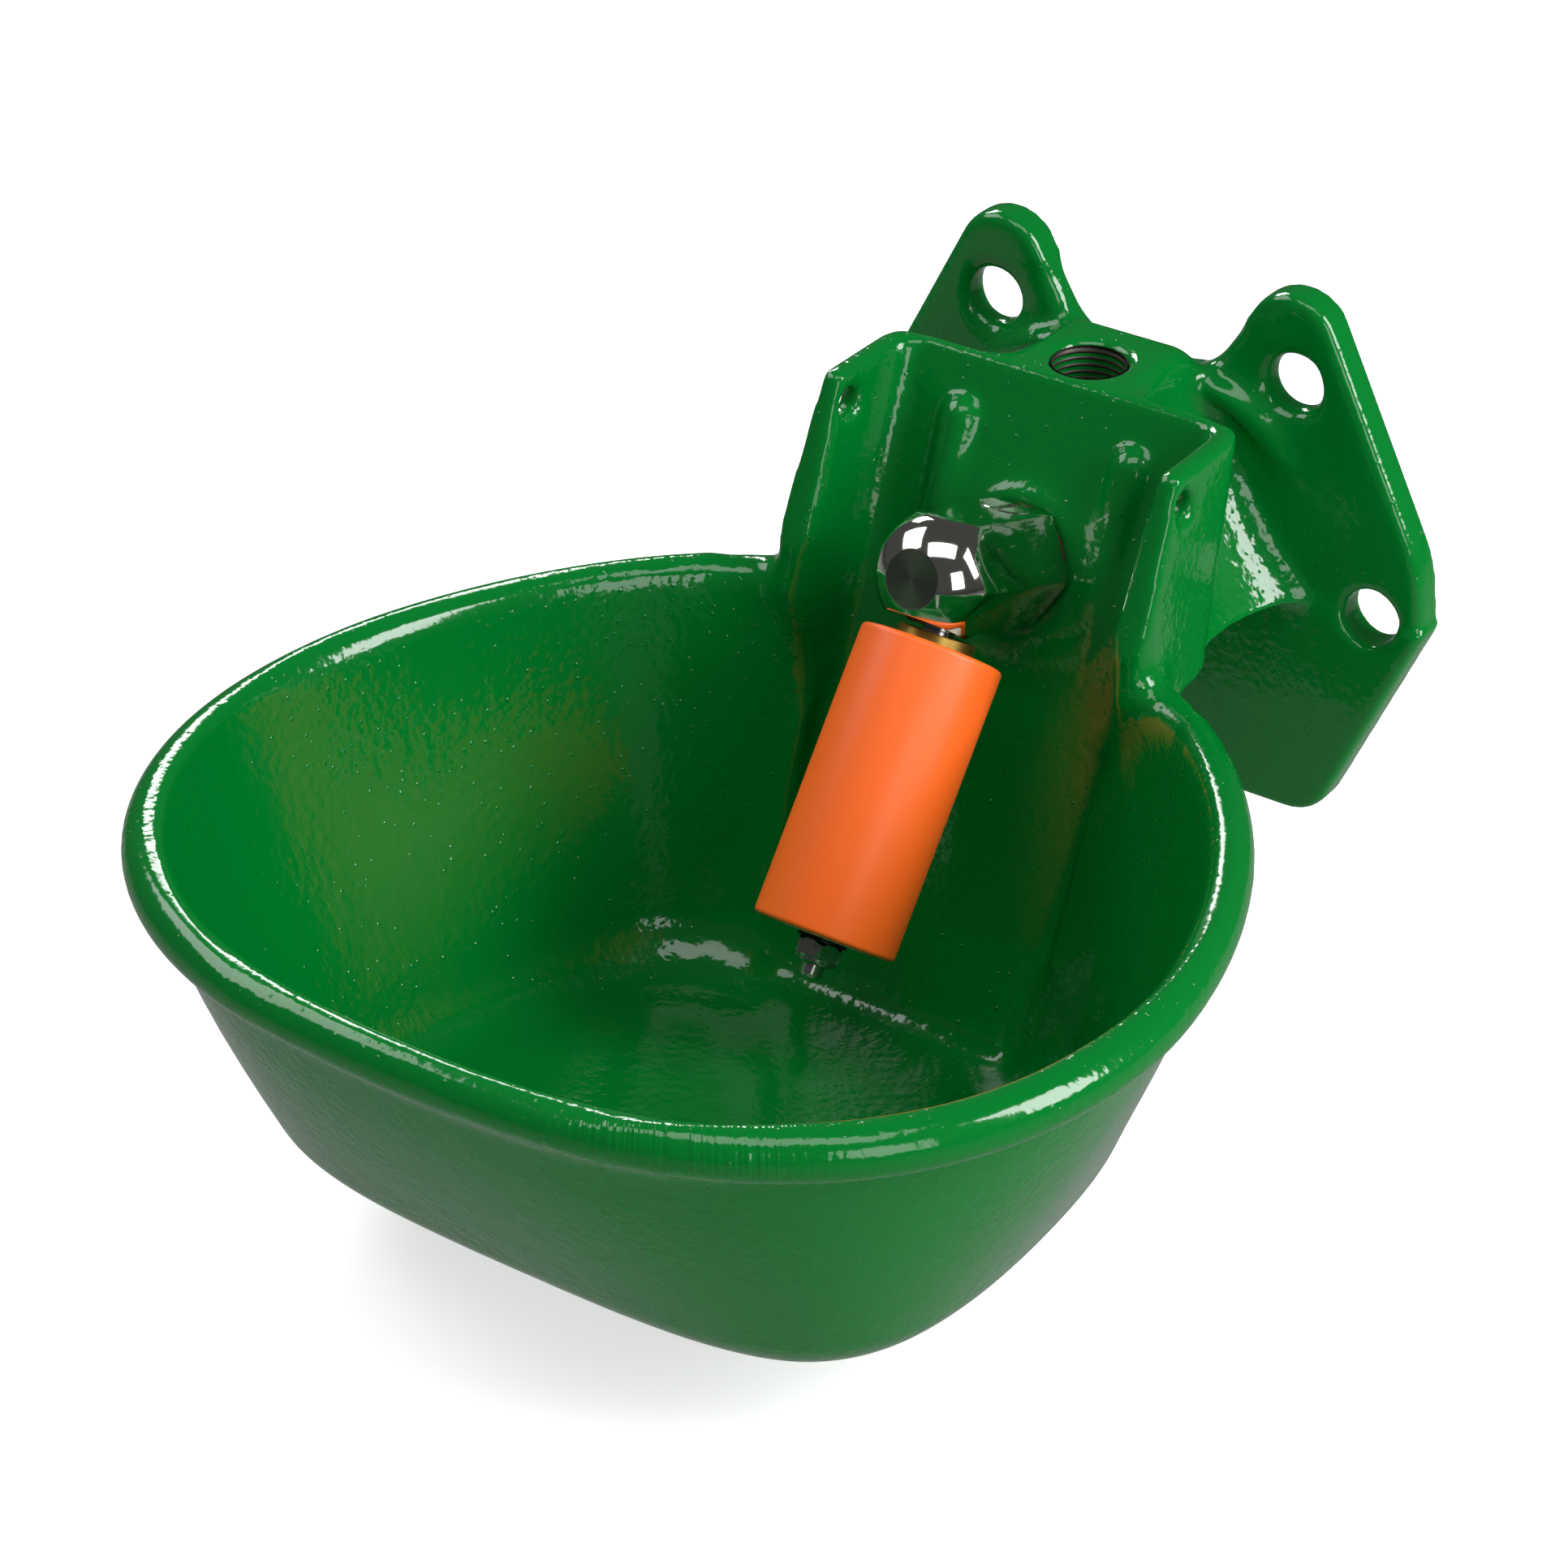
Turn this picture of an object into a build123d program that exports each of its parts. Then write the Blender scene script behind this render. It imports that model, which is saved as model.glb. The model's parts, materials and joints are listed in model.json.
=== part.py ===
from build123d import *
from math import cos, pi, radians, sin, tan
import os

# All sizes are in millimetres. X runs to the right seen from the front, Y towards
# the wall, Z up. The flange's back face is y = 0 and the lower fixing holes are at z = 0.

# Casting in general
wall = 6.2
edge_round = 2.4

# Wall flange
flange_thickness = 9.7
ledge_step = 1.3
flange_half_width = 82.0
flange_bottom_z = -60.6
flange_bottom_half_width = 57.0
ear_top_z = 79.5
ear_dip_z = 51.5
fixing_hole_radius = 7.5
upper_hole_x = 43.0
upper_hole_z = 56.4
lower_hole_x = 68.4

# Neck between flange and shroud, with the water inlet in its top
top_z = 61.2
inlet_y = -32.9
inlet_thread_radius = 9.3
inlet_mouth_radius = 10.75
inlet_thread_depth = 18.0
waterway_radius = 5.0
neck_boss_radius = 17.0
neck_waist = 17.5

# Shroud round the valve
lean = 25.0
back_wall_top_y = -46.2
shroud_rear_y = -42.5
shroud_inner_half_width = 43.7
shroud_front_top_y = -75.0
shroud_front_low_y = -96.0
pocket_foot_half_width = 38.0
side_hole_radius = 3.7
side_hole_y = -71.2
side_hole_z = 52.5
rib_x = 24.0
rib_radius = 5.7
rib_top_z = 46.5

# Bowl
rim_centre_y = -192.1
rim_radius = 118.14
rim_z = 8.2
bead_radius = 6.5
base_centre_y = -188.0
base_half_width = 81.0
base_half_depth = 77.0
base_front_z = -74.0
base_slope = 0.144
base_edge_round = 24.0

# Valve: its axis leaves the back wall at valve_z and rises forwards
valve_z = 19.8
valve_tilt = 19.35
hexagon_flats = 29.0
dome_radius = 16.2
dome_centre = 33.0
nose_flat = 47.5
gasket_thickness = 1.2
spigot_radius = 13.1
spigot_depth = 15.0
bore_radius = 10.6
bore_end = 36.0
rear_bore_radius = 11.2
seat_step = 2.0
orifice_radius = 3.6
screw_radius = 6.0
screw_at = 9.5

# Push rod: it hangs forwards from its pivot in the housing
rod_tilt = 38.25
pivot_up = 5.0
pivot_along = 22.9
rod_radius = 4.0
rod_head_radius = 4.3
rod_end = 108.0
rod_travel = 14.0
pin_radius = 2.0
opening_radius = 9.4
opening_shift = 2.6
spot_face = 20.7

# Orange sleeve and what carries it
sleeve_radius = 17.7
sleeve_wall = 3.6
sleeve_top = 24.5
sleeve_length = 73.5
tube_radius = 9.6
tube_wall = 1.3
tube_top = 23.7

# Clearances
fit_gap = 0.05
running_gap = 0.06
free_gap = 0.3

sleeve_end = sleeve_top + sleeve_length
tube_end = sleeve_end - 1.0
plug_end = sleeve_end + 0.2
shoulder = tube_end - 2
lower_bush_top = tube_end - 10
bush_radius = sleeve_radius - sleeve_wall - fit_gap
thread_radius = 3.0
nut_flats = 10.8
stem_radius = 2.0
stem_nose_radius = 2.5
pivot_lead = pivot_up / tan(radians(90 - rod_tilt + valve_tilt))
rod_crossing = pivot_along + pivot_lead
rod_lean = radians(rod_tilt - valve_tilt)
nose_centre = rod_crossing - (rod_radius + free_gap + stem_nose_radius) / cos(rod_lean)

valve_origin = (0, back_wall_top_y - tan(radians(lean)) * (top_z - valve_z), valve_z)
valve_axis = (0, -cos(radians(valve_tilt)), sin(radians(valve_tilt)))
VALVE = Plane(origin=valve_origin, x_dir=(1, 0, 0), z_dir=valve_axis)
pivot_point = VALVE.from_local_coords(Vector(0, pivot_up, pivot_along))
rod_axis = (0, -sin(radians(rod_tilt)), -cos(radians(rod_tilt)))
ROD = Plane(origin=pivot_point, x_dir=(1, 0, 0), z_dir=rod_axis)


def cylinder_between(radius, start, end):
    """A cylinder along the local axis from start to end."""
    return Pos(0, 0, start) * extrude(Circle(radius), end - start)


def ring_between(outer, inner, start, end):
    """A ring along the local axis from start to end."""
    return Pos(0, 0, start) * extrude(Circle(outer) - Circle(inner), end - start)


def back_wall_y(z):
    """Y of the leaning back wall's front face at height z."""
    return back_wall_top_y - tan(radians(lean)) * (top_z - z)


def bottom_z(y):
    """Z of the bowl's outer bottom, which falls towards the wall."""
    return base_front_z - base_slope * (y + 250)


def rim_point(angle, inset):
    """A point of the rim's plan curve, with angle 0 at the front."""
    shape = 1 - 0.02 * cos(2 * angle) - 0.04 * cos(3 * angle) - 0.01 * cos(4 * angle)
    radius = rim_radius * shape - inset
    return Vector(radius * sin(angle), rim_centre_y - radius * cos(angle), 0)


def base_point(angle, inset):
    """A point of the base's plan curve, a rounded rectangle narrower at the rear."""
    across = abs(sin(angle)) / (base_half_width - inset)
    along = abs(cos(angle)) / (base_half_depth - inset)
    radius = (across**4 + along**4) ** -0.25
    y = base_centre_y - radius * cos(angle)
    x = radius * sin(angle) * (1 + 0.0011 * (base_centre_y - y))
    return Vector(x, y, 0)


def bowl_level(part_way, rim_inset, base_inset, lift):
    """One closed section of the bowl, from the rim (0) to the base (1)."""
    points = []
    share = part_way * abs(part_way) ** 0.25
    for step in range(32):
        angle = 2 * pi * step / 32
        rim = rim_point(angle, rim_inset)
        base = base_point(angle, base_inset)
        flat = rim * (1 - share) + base * share
        low = bottom_z(base.Y if part_way > 0 else base_centre_y) + lift
        points.append((flat.X, flat.Y, rim_z * (1 - part_way) + low * part_way))
    return Wire([Edge.make_spline(points, periodic=True)])


def bowl_solid(rim_inset, base_inset, lift, edge, top):
    """The bowl's outer or inner shape as one solid with a rounded bottom edge."""
    levels = [bowl_level(part_way, rim_inset, base_inset, lift) for part_way in (top, 0.35, 0.7, 1)]
    solid = Solid.make_loft(levels)
    bottom = solid.faces().sort_by(Axis.Z)[0]
    return solid.fillet(edge, bottom.edges())


def rim_bead():
    """The round bead along the bowl's rim."""
    points = [rim_point(pi / 2 + 2 * pi * step / 20, 0) + Vector(0, 0, rim_z) for step in range(20)]
    path = Edge.make_spline(points, periodic=True)
    start = Plane(origin=path @ 0, x_dir=(0, 0, 1), z_dir=path % 0)
    return sweep(start * Circle(bead_radius), Wire([path]))


def flange_plate(points, rounds, front):
    """A plate lying on the wall, symmetrical about x = 0, with rounded outline corners."""
    left = [(-x, z) for x, z in reversed(points) if x > 0]
    face = make_face(Polyline(*points, *left, close=True))
    for (x, z), radius in rounds:
        corners = [v for v in face.vertices() if abs(abs(v.X) - x) < 0.01 and abs(v.Y - z) < 0.01]
        face = fillet(corners, radius)
    return extrude(Plane.XZ * face, front)


def flange():
    """The wall flange: two ears above, a tapering plate below, a ledge between them."""
    slope = (ear_top_z - 14.2) / (flange_half_width - 49.2)
    upper = [
        (0, ear_dip_z),
        (17.5, ear_dip_z),
        (34.2, ear_top_z),
        (49.2, ear_top_z),
        (flange_half_width, ear_top_z - slope * (flange_half_width - 49.2)),
        (flange_half_width, -1),
        (0, -1),
    ]
    upper_rounds = [
        (upper[1], 15),
        (upper[2], 12),
        (upper[3], 12),
        (upper[4], 45),
    ]
    lower = [(0, 0), (flange_half_width + 1.5, 0), (flange_bottom_half_width, flange_bottom_z), (0, flange_bottom_z)]
    upper_plate = flange_plate(upper, upper_rounds, flange_thickness)
    lower_plate = flange_plate(lower, [(lower[2], 11)], flange_thickness + ledge_step)
    upper_front = upper_plate.faces().sort_by(Axis.Y)[0]
    lower_front = lower_plate.faces().sort_by(Axis.Y)[0]
    upper_plate = fillet([e for e in upper_front.edges() if e.center().Z > 0], edge_round)
    lower_plate = fillet(lower_front.edges(), edge_round - 0.6)
    return upper_plate + lower_plate


def neck_level(z, at_flange, waist, at_shroud, rear, front):
    """One section of the neck: straight ends and two sides hollowed between them."""
    middle = (rear + front) / 2
    side = [(at_flange, rear), (waist + 0.16 * (at_flange - waist), (rear + middle) / 2)]
    side += [(waist, middle), (waist + 0.16 * (at_shroud - waist), (front + middle) / 2)]
    side += [(at_shroud, front)]
    right = Edge.make_spline([(x, y, z) for x, y in side])
    left = Edge.make_spline([(-x, y, z) for x, y in reversed(side)])
    front_edge = Edge.make_line((at_shroud, front, z), (-at_shroud, front, z))
    rear_edge = Edge.make_line((-at_flange, rear, z), (at_flange, rear, z))
    return Wire([right, front_edge, left, rear_edge])


def neck():
    """The hollow neck that carries the bowl: narrow at the top, flared below."""
    rear = -flange_thickness + 3
    outer = Solid.make_loft([
        neck_level(top_z, 25, neck_waist, 28, rear, -46),
        neck_level(42, 30, neck_waist + 3, 32, rear, -50),
        neck_level(20, 42, neck_waist + 12, 38, rear, -56),
        neck_level(0, 62, neck_waist + 26, 47, rear, -64),
    ])
    return outer


def neck_hollow():
    """The space inside the neck, open below, either side of the waterway's boss."""
    rear = -flange_thickness - 2
    inner = Solid.make_loft([
        neck_level(46, 18, neck_waist - 4, 22, rear, back_wall_y(46) + wall + 1),
        neck_level(20, 33, neck_waist + 5, 31, rear, back_wall_y(20) + wall + 1),
        neck_level(-1, 50, neck_waist + 19, 39, rear, back_wall_y(-1) + wall + 1),
    ])
    return inner


def top_slope():
    """What is cut away so that the neck's top falls to the dip between the ears."""
    outline = Polyline((-14.5, top_z), (-flange_thickness + 1, ear_dip_z + 1), (5, ear_dip_z), (5, top_z + 5),
                       (-14.5, top_z + 5), close=True)
    face = Plane.YZ * make_face(outline)
    return extrude(face, 24, both=True)


def shroud_block():
    """The outside of the shroud, before its pocket is cut out."""
    top = [(49.6, shroud_rear_y), (50.0, shroud_front_top_y)]
    drop = (top_z - 0) / (top_z - 14.0)
    low_front = shroud_front_top_y + (shroud_front_low_y - shroud_front_top_y) * drop
    low = [(47.6, shroud_rear_y - 8), (53.6, low_front)]
    sections = []
    for z, ((rear_x, rear_y), (front_x, front_y)) in ((top_z, top), (0, low)):
        corners = [(rear_x, rear_y, z), (front_x, front_y, z), (-front_x, front_y, z), (-rear_x, rear_y, z)]
        sections.append(Wire.make_polygon(corners, close=True))
    block = Solid.make_loft(sections, ruled=True)
    rear_corners = [e for e in block.edges() if abs(e.center().X) > 30 and abs(e.center().Y - shroud_rear_y + 4) < 1]
    return block.fillet(7, rear_corners)


def pocket_solid(half_top, half_foot, offset, bottom_lift, top, front):
    """The pocket's outside or inside: a leaning back and two side walls closing downwards."""
    sections = []
    for z in (top, -100):
        half = half_foot + (half_top - half_foot) * (z + 85) / (top_z + 85)
        rear = back_wall_y(z) + offset
        corners = [(half, rear, z), (half, front, z), (-half, front, z), (-half, rear, z)]
        sections.append(Wire.make_polygon(corners, close=True))
    solid = Solid.make_loft(sections, ruled=True)
    low = bottom_z(-125) + bottom_lift
    cutter = Plane(origin=(0, -125, low), x_dir=(1, 0, 0), z_dir=(0, base_slope, 1))
    return split(solid, bisect_by=cutter, keep=Keep.TOP)


def pocket_outside():
    """The casting round the lower part of the pocket, behind and below the bowl."""
    half = shroud_inner_half_width + wall
    solid = pocket_solid(half, pocket_foot_half_width + wall, wall / cos(radians(lean)), 1, 4, -150)
    return solid


def pocket_inside():
    """The pocket's hollow, from above the shroud down to the bowl's floor."""
    solid = pocket_solid(shroud_inner_half_width, pocket_foot_half_width, 0, wall, top_z + 10, -150)
    back = [e for e in solid.edges() if e.length > 60 and abs(e.center().X) > 30 and e.center().Y > -110]
    solid = solid.fillet(5.5, back)
    floor = [e for e in solid.edges() if e.center().Z < -70 and e.center().Y > -140 and e.length > 3]
    return solid.fillet(4.5, floor)


def wall_rib(x):
    """A half-round rib on the back wall with a domed top, sinking into the wall below."""
    lead = 1.6
    top = Vector(x, back_wall_y(rib_top_z) + lead, rib_top_z)
    foot = Vector(x, back_wall_y(-6) + rib_radius + 0.6, -6)
    run = foot - top
    shaft = Plane(origin=top, x_dir=(1, 0, 0), z_dir=run) * extrude(Circle(rib_radius), run.length)
    return shaft + Pos(*top) * Sphere(rib_radius)


def waterway():
    """Every hole that water passes through in the casting."""
    meeting_z = valve_z - tan(radians(valve_tilt)) * (inlet_y - valve_origin[1])
    thread = Pos(0, inlet_y, 0) * cylinder_between(inlet_thread_radius, top_z - inlet_thread_depth, top_z + 5)
    down = Pos(0, inlet_y, 0) * cylinder_between(waterway_radius, meeting_z, top_z)
    chamfer = inlet_mouth_radius - inlet_thread_radius
    mouth = Pos(0, inlet_y, top_z - chamfer / 2) * Cone(inlet_thread_radius, inlet_mouth_radius, chamfer)
    across = VALVE * cylinder_between(waterway_radius, -(inlet_y - valve_origin[1]) / cos(radians(valve_tilt)), 0)
    return thread + down + mouth + across


def valve_space():
    """What the valve needs of the casting: a flat spot on its pad and the spigot's hole."""
    hole = VALVE * cylinder_between(spigot_radius + fit_gap, -spigot_depth - 0.5, 1)
    return hole + VALVE * cylinder_between(neck_boss_radius + 2, 0, 6)


def bowl_shell(cavity, pocket):
    """The bowl with its rim bead and the pocket's outside, hollowed out."""
    body = Part() + bowl_solid(-1.0, 0, 0, base_edge_round, 0) - cavity - pocket - valve_space()
    body += Part() + rim_bead() - cavity - pocket - valve_space()
    body += Part() + pocket_outside() - cavity - pocket - valve_space()
    return body


def neck_and_shroud(cavity, pocket):
    """The shroud and the hollow neck, with the bosses round the waterway and the ribs."""
    body = Part() + neck() - top_slope() + shroud_block() - neck_hollow()
    body += Pos(0, inlet_y, 0) * cylinder_between(neck_boss_radius, -4, top_z - 8)
    body += VALVE * cylinder_between(neck_boss_radius + 1, -33, -3)
    body -= pocket
    body += wall_rib(rib_x) + wall_rib(-rib_x)
    body += VALVE * cylinder_between(neck_boss_radius + 2, -6, 0)
    return body - valve_space() - cavity


def bowl_casting():
    """The whole iron casting: flange, neck, shroud, valve boss and bowl."""
    cavity = bowl_solid(4.6, wall, wall, base_edge_round - 5, -0.09)
    pocket = pocket_inside()
    body = neck_and_shroud(cavity, pocket) + flange() - waterway()
    body += bowl_shell(cavity, pocket)
    for side in (-1, 1):
        body -= Pos(side * 46, side_hole_y, side_hole_z) * Rot(0, 90, 0) * Cylinder(side_hole_radius, 20)
        for x, z in ((upper_hole_x, upper_hole_z), (lower_hole_x, 0)):
            body -= Pos(side * x, 0, z) * Rot(90, 0, 0) * Cylinder(fixing_hole_radius, 40)
    return body


def spanner_hexagon(flats, start, end):
    """A hexagonal prism along the local axis with a flat facing up."""
    profile = RegularPolygon(flats / 2, 6, major_radius=False, rotation=30)
    return Pos(0, 0, start) * extrude(profile, end - start)


def dome_envelope():
    """The turned outside of the valve's housing, which its facets are cut from."""
    corner = hexagon_flats / 2 / cos(pi / 6)
    bar = cylinder_between(corner, gasket_thickness, dome_centre - 2.6)
    taper = Pos(0, 0, dome_centre - 1.3) * Cone(corner, dome_radius, 2.6)
    return bar + taper + Pos(0, 0, dome_centre) * Sphere(dome_radius)


def valve_housing():
    """The domed hexagonal housing: spigot, stepped bore, screw hole, opening for the rod."""
    body = dome_envelope() & spanner_hexagon(hexagon_flats, gasket_thickness, 60)
    body &= cylinder_between(30, 0, nose_flat)
    body += cylinder_between(spigot_radius, -spigot_depth, gasket_thickness)
    body -= cylinder_between(bore_radius, seat_step, bore_end)
    body -= cylinder_between(rear_bore_radius, -spigot_depth - 1, seat_step)
    body -= Pos(0, bore_radius - 2, screw_at) * Rot(-90, 0, 0) * cylinder_between(screw_radius + fit_gap, 0, 12)
    body = VALVE * body
    body -= ROD * cylinder_between(30, spot_face, spot_face + 20)
    body -= ROD * Pos(0, -opening_shift, 0) * cylinder_between(opening_radius, 8, spot_face + 5)
    return body


def housing_gasket():
    """The fibre ring under the housing's shoulder."""
    return VALVE * ring_between(hexagon_flats / 2, spigot_radius + 0.15, 0, gasket_thickness)


def seat_insert():
    """The seat: a flanged ring with a raised lip round its orifice and a seal groove."""
    body = ring_between(bore_radius - fit_gap, orifice_radius, seat_step, 6.6)
    body += ring_between(rear_bore_radius - fit_gap, orifice_radius, 0.5, seat_step)
    body += ring_between(orifice_radius + 0.8, orifice_radius, 0, 0.5)
    body -= ring_between(bore_radius + 1, 9.25, 3.4, 5.0)
    return VALVE * body


def seat_o_ring():
    """The seal round the seat insert."""
    return VALVE * Pos(0, 0, 4.2) * Torus(9.9, 0.65)


def valve_stem():
    """The stem: a round nose that the rod pushes, a head behind the seal, a guided tail."""
    body = cylinder_between(stem_radius, -12, nose_centre) + Pos(0, 0, nose_centre) * Sphere(stem_nose_radius)
    return VALVE * (body + cylinder_between(5.6, -3.6, -2))


def seal_disc():
    """The rubber disc that closes the orifice."""
    return VALVE * ring_between(5.6, stem_radius + fit_gap, -2, 0)


def stem_washer():
    """The washer that holds the seal disc on the stem, inside the orifice."""
    return VALVE * ring_between(orifice_radius - 0.4, stem_radius + fit_gap, 0, 0.9)


def closing_spring():
    """The spring that closes the valve, wound round the stem's tail."""
    wire = 0.45
    helix = Helix(pitch=1.35, height=4.05, radius=4.2)
    start = Plane(origin=helix @ 0, z_dir=helix % 0)
    return VALVE * Pos(0, 0, -8.2) * sweep(start * Circle(wire), helix)


def stem_guide():
    """The perforated disc in the spigot that guides the stem's tail and backs the spring."""
    body = ring_between(rear_bore_radius - fit_gap, stem_radius + running_gap, -11.6, -10.1)
    for step in range(4):
        body -= Rot(0, 0, 45 + 90 * step) * Pos(7, 0, 0) * cylinder_between(2.3, -12, -10)
    return VALVE * body


def inlet_strainer():
    """The perforated disc across the spigot's rear end."""
    body = cylinder_between(rear_bore_radius - fit_gap, -14.1, -13.5)
    for step in range(6):
        body -= Rot(0, 0, 60 * step) * Pos(3.4, 0, 0) * cylinder_between(0.9, -15, -13)
    for step in range(10):
        body -= Rot(0, 0, 36 * step) * Pos(7, 0, 0) * cylinder_between(0.9, -15, -13)
    return VALVE * body


def strainer_ring():
    """The split ring that holds the strainer in the spigot."""
    body = ring_between(rear_bore_radius - fit_gap, rear_bore_radius - 1.6, -spigot_depth, -14.1)
    return VALVE * (body - Pos(0, -rear_bore_radius, -14.5) * Box(3, 6, 3))


def pivot_cage():
    """The cage in the bore that carries the rod's pivot and turns about the valve's axis."""
    body = cylinder_between(bore_radius - running_gap, 13, bore_end - free_gap)
    body -= cylinder_between(stem_nose_radius + 0.5, 12, 19)
    body -= Pos(0, 0, 25.7) * Box(2 * rod_radius + 0.8, 30, 15.4)
    body -= Pos(0, pivot_up, pivot_along) * Rot(0, 90, 0) * Cylinder(pin_radius + 0.02, 30)
    return VALVE * body


def pivot_pin():
    """The cross pin that the push rod hangs from."""
    return VALVE * Pos(0, pivot_up, pivot_along) * Rot(0, 90, 0) * Cylinder(pin_radius, 15.4)


def push_rod():
    """The rod inside the tube: an eye on the pivot pin above, a threaded end below."""
    body = cylinder_between(thread_radius, 0, rod_end)
    body = chamfer(body.edges().group_by(Axis.Z)[-1], 0.8)
    body += cylinder_between(rod_radius, 0, shoulder)
    body += Rot(0, 90, 0) * Cylinder(rod_head_radius, 2 * rod_radius)
    body &= Pos(0, 0, 50) * Box(2 * rod_radius, 40, 140)
    body -= Rot(0, 90, 0) * Cylinder(pin_radius + running_gap, 30)
    return ROD * body


def flow_screw():
    """The slotted screw in the housing's top flat that throttles the flow."""
    top = hexagon_flats / 2 - 0.2
    body = cylinder_between(screw_radius, bore_radius + 0.2, top)
    body += cylinder_between(2.6, 4.2, bore_radius + 0.2)
    body -= ring_between(screw_radius + 1, 4.6, 11.3, 12.7)
    body -= Pos(0, 0, top) * Box(1.7, 20, 2.8)
    return VALVE * Pos(0, 0, screw_at) * Rot(-90, 0, 0) * body


def flow_screw_o_ring():
    """The seal round the flow screw."""
    return VALVE * Pos(0, 12, screw_at) * Rot(-90, 0, 0) * Torus(5.3, 0.68)


def push_tube():
    """The brass tube that stiffens the rod inside the sleeve."""
    return ROD * ring_between(tube_radius, tube_radius - tube_wall, tube_top, tube_end)


def tube_top_plug():
    """The plug that centres the tube's upper end on the rod."""
    return ROD * ring_between(tube_radius - tube_wall - fit_gap, rod_radius + fit_gap, tube_top + 0.5, tube_top + 3.5)


def tube_end_plug():
    """The flanged plug that carries the tube and the sleeve on the rod's shoulder."""
    body = cylinder_between(tube_radius - tube_wall - fit_gap, shoulder - 2, tube_end)
    body += cylinder_between(sleeve_radius - sleeve_wall - 1.6, tube_end, plug_end)
    body -= cylinder_between(rod_radius + fit_gap, shoulder - 3, shoulder)
    body -= cylinder_between(thread_radius + fit_gap, shoulder - 1, plug_end + 1)
    return ROD * body


def snap_ring():
    """The split ring on the tube that keeps the sleeve from climbing."""
    top = lower_bush_top - free_gap - 1.2
    body = ring_between(tube_radius + 1.8, tube_radius + 0.02, top, top + 1.2)
    return ROD * (body - Pos(0, tube_radius, top + 0.6) * Box(4, 8, 3))


def sleeve_washer():
    """The dark washer between the end plug and the lock nut."""
    return ROD * ring_between(6.2, thread_radius + fit_gap, plug_end, plug_end + 1)


def lock_nut():
    """The lock nut: a hexagon with chamfered corners and a round collar below."""
    corner = nut_flats / 2 / cos(pi / 6)
    hexagon = spanner_hexagon(nut_flats, plug_end + 1, plug_end + 5.2)
    top = Pos(0, 0, plug_end + 2.6) * Cone(corner - 0.7, corner + 2.3, 3.2)
    body = hexagon & (top + cylinder_between(corner + 1, plug_end + 4.2, plug_end + 5.2))
    collar = cylinder_between(nut_flats / 2 - 0.3, plug_end + 5.2, plug_end + 6.8)
    collar = fillet(collar.edges().group_by(Axis.Z)[-1], 0.7)
    body = body + collar - cylinder_between(thread_radius + fit_gap, plug_end, plug_end + 8)
    return ROD * (body - cylinder_between(4.2, plug_end + 5.2, plug_end + 8))


def lock_nut_insert():
    """The plastic ring in the lock nut's collar."""
    return ROD * ring_between(4.15, thread_radius + fit_gap, plug_end + 5.2, plug_end + 6.5)


def roller_sleeve():
    """The orange sleeve that the animal's muzzle pushes."""
    body = ring_between(sleeve_radius, sleeve_radius - sleeve_wall, sleeve_top, sleeve_end)
    outer = [e for e in body.edges() if e.geom_type == GeomType.CIRCLE and e.radius > sleeve_radius - 1]
    return ROD * fillet(outer, 1.2)


def upper_bush():
    """The bush in the sleeve's upper end, turning on the tube."""
    return ROD * ring_between(bush_radius, tube_radius + running_gap, sleeve_top + 0.8, sleeve_top + 9)


def lower_bush():
    """The bush in the sleeve's lower end, between the snap ring and the end plug."""
    return ROD * ring_between(bush_radius, tube_radius + running_gap, lower_bush_top, tube_end - free_gap)


nodes = {
    "bowl_casting": bowl_casting,
    "valve_housing": valve_housing,
    "housing_gasket": housing_gasket,
    "seat_insert": seat_insert,
    "seat_o_ring": seat_o_ring,
    "stem_guide": stem_guide,
    "inlet_strainer": inlet_strainer,
    "strainer_ring": strainer_ring,
    "valve_stem": valve_stem,
    "seal_disc": seal_disc,
    "stem_washer": stem_washer,
    "closing_spring": closing_spring,
    "flow_screw": flow_screw,
    "flow_screw_o_ring": flow_screw_o_ring,
    "pivot_cage": pivot_cage,
    "pivot_pin": pivot_pin,
    "push_rod": push_rod,
    "push_tube": push_tube,
    "tube_top_plug": tube_top_plug,
    "tube_end_plug": tube_end_plug,
    "snap_ring": snap_ring,
    "sleeve_washer": sleeve_washer,
    "lock_nut": lock_nut,
    "lock_nut_insert": lock_nut_insert,
    "roller_sleeve": roller_sleeve,
    "upper_bush": upper_bush,
    "lower_bush": lower_bush,
}

if __name__ == "__main__":
    os.makedirs("parts", exist_ok=True)
    for name, make in nodes.items():
        export_step(make(), f"parts/{name}.step")
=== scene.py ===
import json
from math import atan2, cos, pi, radians, sin, sqrt, tan

import bmesh
import bpy
import numpy as np
from bpy.props import FloatProperty, FloatVectorProperty, IntProperty, PointerProperty
from bpy.types import Operator, Panel, PropertyGroup
from mathutils import Matrix, Vector


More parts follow.
